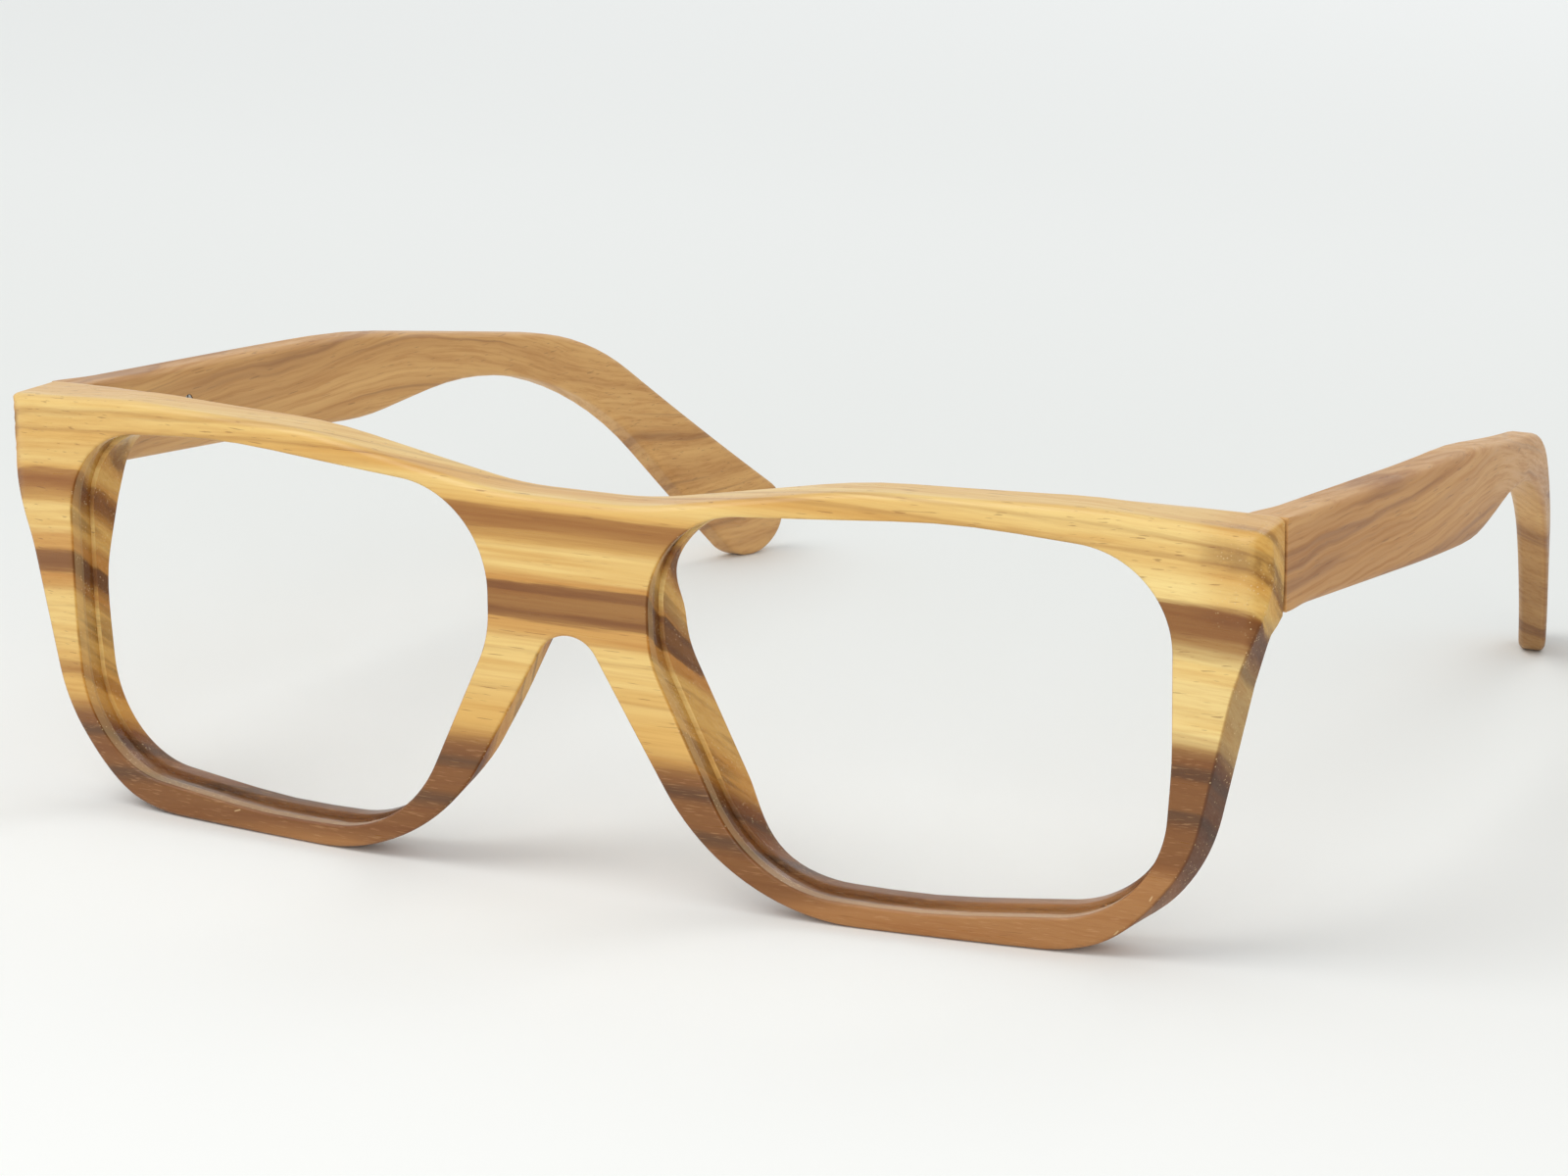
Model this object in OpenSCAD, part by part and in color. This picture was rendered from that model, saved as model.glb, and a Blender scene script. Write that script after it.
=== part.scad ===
// Wooden spectacle frame standing open on its rims and temple tips.
// Front of solid striped wood with two clear lenses, two temples on sprung hinges.
// Millimetres, +Z up, the front faces -Y, the temples run towards +Y, the table is z = 0.

/* [Front] */
// wood beside the opening, out to the end of the front
rim_side = 8.8; // [8.5:0.1:11]
// wood above the opening
rim_top = 2.7; // [2.2:0.1:4]
// thickness of the wood
front_t = 5.3; // [4.8:0.1:6.5]
// radius to which the front is curved round the face
wrap_r = 382; // [300:2:600]
// forward lean of the front on the table
front_tilt = 1.6; // [0:0.2:4]
// how far the brow dips over the nose
brow_dip = 4; // [2:0.1:5]
// height of the top of the nose arch
arch_z = 25.2; // [22:0.2:27]
// width between the nose rims at the table
nose_w = 33.6; // [30:0.2:37]
// how far the nose rims open towards the back, degrees
nose_splay = 15; // [8:1:20]
// rounding from the face to the side at each end
end_round = 3; // [2:0.1:4]
// how much deeper than the rim the wood is where a temple butts
end_deep = 2.2; // [1.6:0.1:3]

/* [Lenses] */
// clear width of one rim opening
lens_w = 52.2; // [49:0.2:54]
// clear height of one rim opening
lens_h = 38; // [34:0.2:38.4]
// distance between the two openings
bridge_w = 17.8; // [16:0.2:22]
// wood left under the opening
rim_low = 2.2; // [2:0.1:3]
// thickness of a lens
lens_t = 1.8; // [1.2:0.1:2.2]
// depth of the lens groove in the rim
groove_d = 0.6; // [0.4:0.05:0.9]
// how much narrower the opening is behind the lens, on each side
back_lip = 0.7; // [0:0.1:1]

/* [Temples] */
// thickness of a temple
temple_t = 4.2; // [3.8:0.1:4.6]
// depth of a temple where it meets the front
temple_h = 8.9; // [8.4:0.1:9.6]
// length from the front to the centre of the round tip
temple_len = 119; // [112:1:130]
// radius of the round tip
tip_r = 5.3; // [4.5:0.1:5.8]
// direction of the tip below level, degrees
tip_drop = 46; // [42:0.5:50]
// radius to which the ear end is curved inward
ear_r = 245; // [200:5:400]
// thickness of a temple at its tip
tip_t = 3.3; // [2.8:0.1:3.8]

/* [Hinges] */
// distance from the temple's outer face to the hinge axis
hinge_in = 4.5; // [4.3:0.1:4.8]
// radius of the hinge knuckles
knuckle_r = 1.5; // [1.4:0.05:1.6]
// radius of the hinge screw
pin_r = 0.6; // [0.5:0.02:0.7]
// length of the spring case
case_len = 11; // [10:0.5:14]
// height of the spring case
case_h = 3.4; // [3.2:0.1:3.8]
// width of the spring case
case_w = 2.6; // [2.5:0.05:2.7]

/* [Hidden] */
$fn = 72;
eps = 0.02;
// running clearance of a pin in its bore
run = 0.03;
// gap between the temple's end and the front
end_gap = 0.25;
// angle between the points of a rounded corner
corner_step = 5;

// inner and outer sides of the right rim opening
open_x0 = bridge_w / 2;
open_x1 = open_x0 + lens_w;
open_mid = (open_x0 + open_x1) / 2;
half_w = open_x1 + rim_side;
front_w = 2 * half_w;
front_h = rim_low + lens_h + rim_top;
back_r = wrap_r - front_t;
far = 2 * front_w;
// each half of the front is cut square to the wood at its lens
half_turn = asin(open_mid / wrap_r);

// the hinge: axis, height and the flat on which the temple butts
temple_drop = 5.65;
hinge_drop = 0.9;
temple_inset = 1.2;
knuckle_gap = 0.7;
temple_z = front_h - temple_drop;
hinge_z = temple_z - hinge_drop;
temple_x = half_w - temple_inset;
hinge_x = temple_x - hinge_in;
block_y = back_y(hinge_x);
butt_y = block_y * cos(front_tilt) - hinge_z * sin(front_tilt) + end_deep;
hinge_y = butt_y + knuckle_r + knuckle_gap;
temple_y = butt_y + end_gap;

// height at which the two nose rims would meet, and their turn into the lower rims
arch_round = 3.4;
nose_round = 23;
arch_rise = atan(nose_w / 2 / arch_z) - 4.6;
corner_round = 17;
nose_peak = arch_z + arch_round * (1 / sin(arch_rise) - 1);
nose_turn = 90 - atan(nose_w / 2 / nose_peak);
// the front's lowest line touches the table
low_x = nose_w / 2 + nose_round * tan(nose_turn / 2);
seat_z = -face_y(low_x) * sin(front_tilt);

// wall of the case that is let into the temple, and the bore that holds the spring
case_wall = 0.4;
bore_r = case_w / 2 - case_wall;
case_y = hinge_y + knuckle_r + 0.8;
front_wall = 1.2;
eye_h = 1.6;
play = 0.1;
knuckle_h = 1.5;
rod_r = 0.4;
// the rod and its case lie in the middle of the temple's wood
rod_x = temple_x - temple_t / 2;
stop_len = 1;
spring_len = case_len - front_wall - stop_len - 2.2;
stop_y = case_y + front_wall + spring_len;
wire_r = 0.14;
coil_r = bore_r - 0.12 - wire_r;
coil_turns = 7;
tab_len = 5;
tab_t = 1;
room_x = hinge_x + knuckle_r + 0.5;
case_x0 = rod_x - case_w / 2;
case_x1 = rod_x + case_w / 2;
leaf_t = 1;
leaf_h = 5.8;
leaf_x0 = hinge_x - 3.4;
leaf_x1 = hinge_x + 0.6;
screw_r = 0.5;
screw_head_r = 0.85;
screw_head_h = 0.5;
leaf_screw_len = 3.4;
case_screw_len = 3.1;
pin_head_r = 1.1;
pin_head_h = 0.6;
slot_w = 0.3;
slot_d = 0.25;

// which sub-part to draw

function unit(v) = v / norm(v);
function xy(p) = [p[0], p[1]];
function cross2(a, b) = a[0] * b[1] - a[1] * b[0];

// y of the front's curved face and back at a given x
function face_y(x) = wrap_r - sqrt(wrap_r * wrap_r - x * x);
function back_y(x) = wrap_r - sqrt(back_r * back_r - x * x);

// points of the arc that rounds corner b of the outline a, b, c; b is [x, y, radius]
function corner_half(a, b, c) = acos(unit(xy(a) - xy(b)) * unit(xy(c) - xy(b))) / 2;
function corner_centre(a, b, c) =
  let (u = unit(xy(a) - xy(b)), w = unit(xy(c) - xy(b)))
  xy(b) + unit(u + w) * b[2] / sin(corner_half(a, b, c));
function corner_arc(a, b, c) =
  let (
    u = unit(xy(a) - xy(b)),
    w = unit(xy(c) - xy(b)),
    h = corner_half(a, b, c),
    m = corner_centre(a, b, c),
    p = xy(b) + u * b[2] / tan(h) - m,
    turn = (180 - 2 * h) * sign(cross2(-u, w)),
    n = max(1, ceil(abs(turn) / corner_step)),
    start = atan2(p[1], p[0])
  )
  [for (i = [0 : n]) m + b[2] * [cos(start + turn * i / n), sin(start + turn * i / n)]];
function rounded(pts) =
  let (n = len(pts))
  [for (i = [0 : n - 1]) each corner_arc(pts[(i + n - 1) % n], pts[i], pts[(i + 1) % n])];

// the same outline moved outward by d; the points run anticlockwise
function side_normal(a, b) = let (u = unit(xy(b) - xy(a))) [u[1], -u[0]];
function grown(pts, d) =
  let (n = len(pts))
  [for (i = [0 : n - 1])
    let (
      m = side_normal(pts[(i + n - 1) % n], pts[i]),
      k = side_normal(pts[i], pts[(i + 1) % n]),
      q = xy(pts[i]) + d * (m + k) / (1 + m * k)
    )
    [q[0], q[1], pts[i][2] + d]];
function mirrored(pts) = [for (i = [len(pts) - 1 : -1 : 0]) [-pts[i][0], pts[i][1], pts[i][2]]];

// right rim opening, anticlockwise: share of its width, of its height, corner radius over height
opening_shares = [[0.2, 0.012, 0.38], [0.53, -0.002, 2.1], [0.978, 0.05, 0.3], [1.0, 0.45, 1.3],
  [1.0, 0.958, 0.26], [0.6, 1.008, 2.1], [-0.004, 0.955, 0.27], [0, 0.58, 0.3]];
opening_pts = [for (s = opening_shares)
  [open_x0 + s[0] * lens_w, rim_low + s[1] * lens_h, s[2] * lens_h]];

// right half of the outer outline from the table to the brow, anticlockwise
// below the end, where the temple butts, the rim's side leans in
end_u = half_w + 0.1;
end_low = front_h - 6.8;
side_pts = [[open_x1 + 0.7, 0, corner_round], [end_u, end_low, 18],
  [half_w - 0.1, front_h - 1.4, 1.6], [open_mid + 17.8, front_h, 60],
  [open_mid - 5.2, front_h - 0.25, 60], [7.5, front_h - brow_dip, 40]];
outline_pts = concat(side_pts, mirrored(side_pts));
// the outline of the deeper wood behind the ends, upright and sloping below the temple
block_u = end_u - 0.5;
block_low = temple_z - temple_h / 2 - 0.6;
block_top = front_h - 1.3;
block_pts = [[open_mid, 0, 0.1], [block_u - block_low, 0, 0.1], [block_u, block_low, 1],
  [block_u - 0.2, block_top, 1.2], [open_mid, block_top, 0.1]];

// the space for the nose, narrowed because it is turned outward on each side
nose_k = cos(nose_splay);
nose_side = [[-nose_k * nose_w / 2, 0, nose_round], [-nose_k * low_x, 0, 0.1], [-nose_k * low_x, -front_h, 1]];
nose_pts = concat([[0, nose_peak, arch_round]], nose_side, mirrored(nose_side));

// temple seen from the side: y from the front's centre, z above the table, corner radius
top_z = temple_z + temple_h / 2;
tip_dir = [cos(tip_drop), -sin(tip_drop)];
tip_up = [sin(tip_drop), cos(tip_drop)];
tip_round = 0.9 * tip_r;
function along(share) = temple_y + share * temple_len;
function temple_pts(cz) =
  let (
    c = [along(1), cz],
    up = c + tip_r * (tip_dir + tip_up),
    low = c + tip_r * (tip_dir - tip_up)
  )
  [[temple_y, top_z - temple_h, 0.8], [along(0.448), temple_z - 9, 40], [along(0.734), temple_z - 5.5, 45],
   [low[0], low[1], tip_round], [up[0], up[1], tip_round],
   [along(0.778), temple_z - 5.7, 34], [along(0.445), temple_z + 0.8, 120], [temple_y, top_z, 0.8]];
function tip_low(p) = corner_centre(p[2], p[3], p[4])[1] - tip_round;
// height of the tip's centre at which it rests on the table
tip_z = tip_r - tip_low(temple_pts(tip_r));
tip_pts = temple_pts(tip_z);
tip_end = max([for (p = rounded(tip_pts)) p[0]]);
// where the ear end begins to curve inward
ear_y = along(0.273);

// centre the whole object on its footprint
brow_y = -(front_h - brow_dip) * sin(front_tilt);
mid_y = (brow_y + tip_end) / 2;

wood = "#c89a58";
brown = "#9c6b3a";
clear = "#dfe9ee66";
steel = "#b9bcc0";

// put a piece of the right-hand side in its place, or mirror it to the left
module placed() {
  translate([0, -mid_y, 0]) children();
}
module on_right() {
  placed() children();
}
module on_left() {
  placed() mirror([1, 0, 0]) children();
}
module tilted() {
  translate([0, 0, seat_z]) rotate([front_tilt, 0, 0]) children();
}

// a flat outline in x and z, drawn through the depth from y0 to y1 and turned about the centre line
module turned_prism(pts, y0, y1, turn) {
  rotate([0, 0, turn]) translate([0, y1, 0]) rotate([90, 0, 0])
    linear_extrude(y1 - y0) polygon(rounded(pts));
}
// the same, square to the right half
module prism(pts, y0, y1) {
  turned_prism(pts, y0, y1, half_turn);
}
module right_half() {
  intersection() {
    translate([0, -far, -far]) cube(2 * far);
    children();
  }
}
// rounds the outer end of the face, seen from above
module end_cut() {
  u = end_u - end_round;
  v = wrap_r * cos(half_turn) - sqrt(wrap_r * wrap_r - (u - open_mid) * (u - open_mid)) + end_round;
  rotate([0, 0, half_turn]) translate([u, v, -far]) difference() {
    translate([0, -far, 0]) cube([far, far, 2 * far]);
    translate([0, 0, -1]) cylinder(h = 2 * far + 2, r = end_round);
  }
}
// the layer of the curved front between two depths below its face
module shell(d0, d1) {
  translate([0, wrap_r, 0]) difference() {
    cylinder(h = far, r = wrap_r - d0, center = true, $fn = 360);
    cylinder(h = 2 * far, r = wrap_r - d1, center = true, $fn = 360);
  }
}
depth_y = back_y(half_w) + 6;
// a lens or its groove, in the middle of the wood
lens_d0 = (front_t - lens_t) * 0.42;
module lens_body(grow, thick) {
  intersection() {
    prism(grown(opening_pts, grow), -8, depth_y);
    shell(lens_d0, lens_d0 + thick);
  }
}

module leaf_blank(grow) {
  translate([leaf_x0 - grow, butt_y - leaf_t, hinge_z - leaf_h / 2 - grow])
    cube([leaf_x1 - leaf_x0 + 2 * grow, leaf_t + grow, leaf_h + 2 * grow]);
}
leaf_screw_x = leaf_x0 + 1.15;
leaf_screw_dz = leaf_h / 2 - 1.15;
module leaf_screw_places() {
  for (s = [-1, 1])
    translate([leaf_screw_x, butt_y, hinge_z + s * leaf_screw_dz]) rotate([90, 0, 0]) children();
}

// the deeper wood that carries the hinge, seen from the side and from above, with sloping faces
block_in = leaf_x0 - 0.5;
block_side = [[block_y - 2, block_low - end_deep - 2], [block_y + end_deep + 4, block_low + 4],
  [block_y + end_deep + 4, front_h + 5], [block_y - 2, front_h + 5]];
block_plan = [[block_in - (end_deep + 2) / 2, block_y - 2], [half_w + 5, block_y - 2],
  [half_w + 5, block_y + end_deep + 4], [block_in + 2, block_y + end_deep + 4]];
module end_block() {
  intersection() {
    prism(block_pts, -8, depth_y);
    rotate([90, 0, 90]) linear_extrude(far) polygon(block_side);
    linear_extrude(far) polygon(block_plan);
  }
}

module front_half() {
  right_half() difference() {
    union() {
      intersection() {
        prism(outline_pts, -8, depth_y);
        shell(0, front_t);
      }
      end_block();
    }
    turned_prism(nose_pts, -far, far, -nose_splay);
    prism(grown(opening_pts, -back_lip), -9, depth_y + 1);
    intersection() {
      prism(opening_pts, -9, depth_y + 1);
      shell(-front_t, lens_d0 + lens_t / 2);
    }
    lens_body(groove_d, lens_t + 0.05);
    end_cut();
  }
}
module front() {
  color(wood) placed() difference() {
    tilted() union() {
      front_half();
      mirror([1, 0, 0]) front_half();
    }
    for (s = [0, 1]) mirror([s, 0, 0]) {
      // flat on which the temple butts
      translate([0, butt_y, -1]) cube([far, far, far]);
      leaf_blank(0);
      leaf_screw_places() translate([0, 0, -1]) cylinder(h = leaf_screw_len + 1.2, r = screw_r + run);
    }
  }
}

module lens(s) {
  color(clear) placed() tilted() mirror([s, 0, 0]) lens_body(groove_d - 0.05, lens_t);
}
module lens_l() lens(1);
module lens_r() lens(0);

// flat ribbon of the temple seen from above: straight, then curved inward to the ear
module temple_plan() {
  // the inner side is curved a little less, so that the temple thins out
  reach = temple_len + temple_y - ear_y;
  inner_bend = reach * reach / (2 * ear_r) - temple_t + tip_t;
  inner_r = reach * reach / (2 * inner_bend);
  start_y = temple_y - 5;
  linear_extrude(front_h + 10) difference() {
    translate([temple_x - half_w, start_y]) square([half_w, 1.3 * temple_len]);
    translate([temple_x - ear_r, ear_y]) difference() {
      square([ear_r + 1, 1.1 * temple_len]);
      circle(r = ear_r, $fn = 360);
    }
    translate([temple_x - front_w, start_y - 1]) square([front_w - temple_t, ear_y - start_y + 1]);
    translate([temple_x - temple_t - inner_r, ear_y]) circle(r = inner_r, $fn = 360);
  }
}
module temple_side() {
  translate([temple_x - far / 2, 0, 0]) rotate([90, 0, 90]) linear_extrude(far)
    polygon(rounded(tip_pts));
}
// the screws go in from the inner side, a little below its surface
case_screw_y = [case_y + case_len + 1.4, case_y + case_len + 3.6];
case_screw_x = temple_x - temple_t + 0.1;
module case_screw_places() {
  for (y = case_screw_y)
    translate([case_screw_x, y, hinge_z]) rotate([0, 90, 0]) children();
}
module temple() {
  color(brown) difference() {
    intersection() {
      temple_side();
      translate([0, 0, -5]) temple_plan();
    }
    // room for the knuckles, the mortise for the case, cut in from the end, and its screws
    translate([room_x - 10, temple_y - 1, hinge_z - 2.8]) cube([10, case_y - temple_y + 1, 6.2]);
    translate([case_x0, temple_y - 1, hinge_z - case_h / 2])
      cube([case_w, case_y + case_len - temple_y + 1, case_h]);
    translate([case_x1 - tab_t, case_y, hinge_z - case_h / 2]) cube([tab_t, case_len + tab_len, case_h]);
    case_screw_places() {
      translate([0, 0, -1]) cylinder(h = case_screw_len + 1.1, r = screw_r + run);
      translate([0, 0, -1]) cylinder(h = 1 + screw_head_h, r = screw_head_r + run);
    }
  }
}
module temple_l() on_left() temple();
module temple_r() on_right() temple();

module knuckle() {
  cylinder(h = knuckle_h, r = knuckle_r);
  translate([-knuckle_r, butt_y - leaf_t / 2 - hinge_y, 0])
    cube([knuckle_r + 0.6, hinge_y - butt_y + leaf_t / 2, knuckle_h]);
}
module hinge_leaf() {
  color(steel) difference() {
    union() {
      leaf_blank(0);
      translate([hinge_x, hinge_y, hinge_z + eye_h / 2 + play]) knuckle();
      translate([hinge_x, hinge_y, hinge_z - eye_h / 2 - play - knuckle_h]) knuckle();
    }
    translate([hinge_x, hinge_y, hinge_z - 10]) cylinder(h = 20, r = pin_r + run);
    leaf_screw_places() {
      translate([0, 0, -1]) cylinder(h = 4, r = screw_r + run);
      translate([0, 0, -1]) cylinder(h = 1 + screw_head_h, r = screw_head_r + run);
    }
  }
}
module hinge_leaf_l() on_left() hinge_leaf();
module hinge_leaf_r() on_right() hinge_leaf();

// slotted screw, head at z = 0 and shank along +Z
module screw(length) {
  difference() {
    union() {
      cylinder(h = screw_head_h, r = screw_head_r);
      cylinder(h = length, r = screw_r);
    }
    translate([-2, -slot_w / 2, -1]) cube([4, slot_w, 1 + slot_d]);
  }
}
module leaf_screws() {
  color(steel) leaf_screw_places() screw(leaf_screw_len);
}
module leaf_screws_l() on_left() leaf_screws();
module leaf_screws_r() on_right() leaf_screws();

module hinge_screw() {
  top = eye_h / 2 + play + knuckle_h;
  color(steel) translate([hinge_x, hinge_y, hinge_z]) difference() {
    union() {
      translate([0, 0, -top]) cylinder(h = 2 * top, r = pin_r);
      translate([0, 0, top + eps]) cylinder(h = pin_head_h, r = pin_head_r);
      translate([0, 0, top - 0.1]) cylinder(h = 0.3, r = pin_r);
    }
    translate([-2, -slot_w / 2, top + pin_head_h - slot_d]) cube([4, slot_w, 1]);
  }
}
module hinge_screw_l() on_left() hinge_screw();
module hinge_screw_r() on_right() hinge_screw();

// eye between the knuckles with an arm to the rod that runs into the spring case
module slider() {
  neck = case_y - hinge_y - 0.3;
  side = rod_x - hinge_x;
  arm = 0.8;
  color(steel) translate([hinge_x, hinge_y, hinge_z]) difference() {
    union() {
      translate([0, 0, -eye_h / 2]) cylinder(h = eye_h, r = knuckle_r - 0.05);
      translate([-arm, 0.4, -eye_h / 2]) cube([side + 2 * arm, neck - 0.4, eye_h]);
      translate([side, neck - 0.2, 0]) rotate([-90, 0, 0])
        cylinder(h = stop_y + stop_len - hinge_y - neck + 0.2, r = rod_r);
    }
    translate([0, 0, -5]) cylinder(h = 10, r = pin_r + run);
  }
}
module slider_l() on_left() slider();
module slider_r() on_right() slider();

// collar on the end of the rod that presses on the spring
module spring_stop() {
  color(steel) translate([rod_x, stop_y, hinge_z]) rotate([-90, 0, 0]) difference() {
    cylinder(h = stop_len, r = bore_r - play);
    translate([0, 0, -1]) cylinder(h = stop_len + 2, r = rod_r);
  }
}
module spring_stop_l() on_left() spring_stop();
module spring_stop_r() on_right() spring_stop();

// coil round the rod between the front wall of the case and the collar
coil_steps = 18;
coil_sides = 8;
module coil(length) {
  n = coil_turns * coil_steps;
  rise = (length - 2 * wire_r) / n;
  pts = [for (i = [0 : n], j = [0 : coil_sides - 1])
    let (a = 360 * i / coil_steps, b = -360 * j / coil_sides, r = coil_r + wire_r * cos(b))
    [r * cos(a), r * sin(a), wire_r + i * rise + wire_r * sin(b)]];
  walls = [for (i = [0 : n - 1], j = [0 : coil_sides - 1])
    let (k = (j + 1) % coil_sides, p = i * coil_sides, q = p + coil_sides)
    [p + j, p + k, q + k, q + j]];
  first = [for (j = [coil_sides - 1 : -1 : 0]) j];
  last = [for (j = [0 : coil_sides - 1]) n * coil_sides + j];
  polyhedron(pts, concat([first], walls, [last]));
}
module spring() {
  color(steel) translate([rod_x, case_y + front_wall, hinge_z]) rotate([-90, 0, 0]) coil(spring_len);
}
module spring_l() on_left() spring();
module spring_r() on_right() spring();

module spring_case() {
  color(steel) difference() {
    union() {
      translate([case_x0, case_y, hinge_z - case_h / 2]) cube([case_w, case_len, case_h]);
      translate([case_x1 - tab_t, case_y, hinge_z - case_h / 2]) cube([tab_t, case_len + tab_len, case_h]);
    }
    translate([rod_x, case_y - 1, hinge_z]) rotate([-90, 0, 0]) cylinder(h = 5, r = rod_r + 2 * run);
    translate([rod_x, case_y + front_wall, hinge_z]) rotate([-90, 0, 0])
      cylinder(h = case_len, r = bore_r);
    case_screw_places() cylinder(h = case_screw_len + 0.1, r = screw_r + run);
  }
}
module spring_case_l() on_left() spring_case();
module spring_case_r() on_right() spring_case();

module case_screws() {
  color(steel) case_screw_places() screw(case_screw_len);
}
module case_screws_l() on_left() case_screws();
module case_screws_r() on_right() case_screws();

front();
lens_l();
lens_r();
temple_l();
temple_r();
hinge_leaf_l();
hinge_leaf_r();
leaf_screws_l();
leaf_screws_r();
hinge_screw_l();
hinge_screw_r();
slider_l();
slider_r();
spring_stop_l();
spring_stop_r();
spring_l();
spring_r();
spring_case_l();
spring_case_r();
case_screws_l();
case_screws_r();
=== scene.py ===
import math

import bmesh
import bpy
from mathutils import Matrix, Vector
from mathutils.geometry import delaunay_2d_cdt


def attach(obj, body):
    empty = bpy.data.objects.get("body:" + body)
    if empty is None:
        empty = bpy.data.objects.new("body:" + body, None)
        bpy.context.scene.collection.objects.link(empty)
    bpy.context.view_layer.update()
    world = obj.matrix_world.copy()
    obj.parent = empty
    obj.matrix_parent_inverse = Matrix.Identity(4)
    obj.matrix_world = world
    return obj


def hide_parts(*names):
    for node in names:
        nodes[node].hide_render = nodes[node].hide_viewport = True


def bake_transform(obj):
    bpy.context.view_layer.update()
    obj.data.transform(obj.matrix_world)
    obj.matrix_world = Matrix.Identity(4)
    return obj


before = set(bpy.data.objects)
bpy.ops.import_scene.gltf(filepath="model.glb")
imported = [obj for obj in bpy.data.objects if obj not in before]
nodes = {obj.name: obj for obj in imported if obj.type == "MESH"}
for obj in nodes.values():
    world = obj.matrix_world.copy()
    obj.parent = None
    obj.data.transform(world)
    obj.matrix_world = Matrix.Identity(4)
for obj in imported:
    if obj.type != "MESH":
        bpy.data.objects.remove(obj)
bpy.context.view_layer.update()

# sizes of the CAD source, millimetres; y is measured from the bridge and MID moves it to the row frame
MID = 67.54344
T, WRAP, TILT = 5.3, 382.0, math.radians(1.6)
OPEN_X0, LENS_W, LENS_H, RIM_LOW = 8.9, 52.2, 38.0, 2.2
OPEN_X1 = OPEN_X0 + LENS_W
OPEN_MID = (OPEN_X0 + OPEN_X1) / 2
HALF_W, FRONT_H, BROW_DIP = 69.9, 42.9, 4.0
NOSE_W, ARCH_Z, ARCH_ROUND, NOSE_ROUND = 33.6, 25.2, 3.4, 23.0
SPLAY = math.radians(15)
END_ROUND, END_DEEP, END_LOW, END_U = 3.0, 2.2, FRONT_H - 6.8, HALF_W + 0.1
LENS_T, GROOVE, GROOVE_PLAY, LIP = 1.8, 0.22, 0.05, 0.35
LENS_D0 = (T - LENS_T) * 0.42
TURN = math.asin(OPEN_MID / WRAP)
HINGE_X, HINGE_Z = 64.2, 36.35
TEMPLE_X, TEMPLE_T, TIP_T, TEMPLE_H, TEMPLE_Z = 68.7, 4.2, 3.3, 8.9, 37.25
TEMPLE_LEN, TIP_R, EAR_R = 119.0, 5.3, 245.0
TIP_DROP = math.radians(46)
# pocket of a hinge leaf: inward and outward of the hinge axis, depth and half height
LEAF_IN, LEAF_OUT, LEAF_DEEP, LEAF_HALF = 3.43, 0.63, 1.03, 2.93
CLEAR = 3.0  # how far the cutter of that pocket stands out of the wood

# forms of the visual model alone: pads beside the nose, outer sides leaning in towards the face
PAD, CANT = 3.6, 0.9
PAD_Z, PAD_U = (3.5, 11, 26, 34), (1.5, 8, 22, 30)  # where a pad begins, is whole, and ends again
OUTER_X = 50.0  # the outer part of a half begins here
# rounding of the edges on the face, on the back and in the openings
FACE_EDGE, FACE_BROW, FACE_SIDE, FACE_END = 0.45, 1.0, 0.4, 0.12
BACK_EDGE, BACK_SIDE, BACK_BLOCK, BACK_PAD = 0.8, 1.8, 0.25, 0.08
OPEN_FACE, OPEN_BACK = 0.3, 0.5
# spacing of the points on broad faces, and the share of it where they lie closer
GRID_FRONT, GRID_LENS, GRID_TEMPLE, CLOSER = 1.7, 2.6, 1.9, 0.36
SEAM_STEPS = 13  # divisions of the middle line between the halves
CREASE = math.radians(34)


def face_y(x):
    return WRAP - math.sqrt(WRAP * WRAP - x * x)


def back_y(x):
    return WRAP - math.sqrt((WRAP - T) ** 2 - x * x)


BLOCK_Y = back_y(HINGE_X)
BUTT_Y = BLOCK_Y * math.cos(TILT) - HINGE_Z * math.sin(TILT) + END_DEEP
HINGE_Y = BUTT_Y + 2.2
TEMPLE_Y = BUTT_Y + 0.25
CASE_Y = HINGE_Y + 2.3
BLOCK_LOW, BLOCK_TOP, BLOCK_IN = TEMPLE_Z - TEMPLE_H / 2 - 0.6, FRONT_H - 1.3, HINGE_X - 3.9
LEG_TURN = math.radians(4.6)
RISE = math.atan(NOSE_W / 2 / ARCH_Z) - LEG_TURN
PEAK = ARCH_Z + ARCH_ROUND * (1 / math.sin(RISE) - 1)
LOW_X = NOSE_W / 2 + NOSE_ROUND * math.tan((math.pi / 2 - math.atan(NOSE_W / 2 / PEAK)) / 2)
SEAT_Z = -face_y(LOW_X) * math.sin(TILT)


def smooth(a, b, x):
    """0 at a, 1 at b, with soft ends."""
    t = min(1.0, max(0.0, (x - a) / (b - a)))
    return t * t * (3 - 2 * t)


def row(x, y, z):
    """A point of the source in metres, in the row frame."""
    return Vector((x / 1000, (y - MID) / 1000, z / 1000))


# flat outlines

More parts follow.
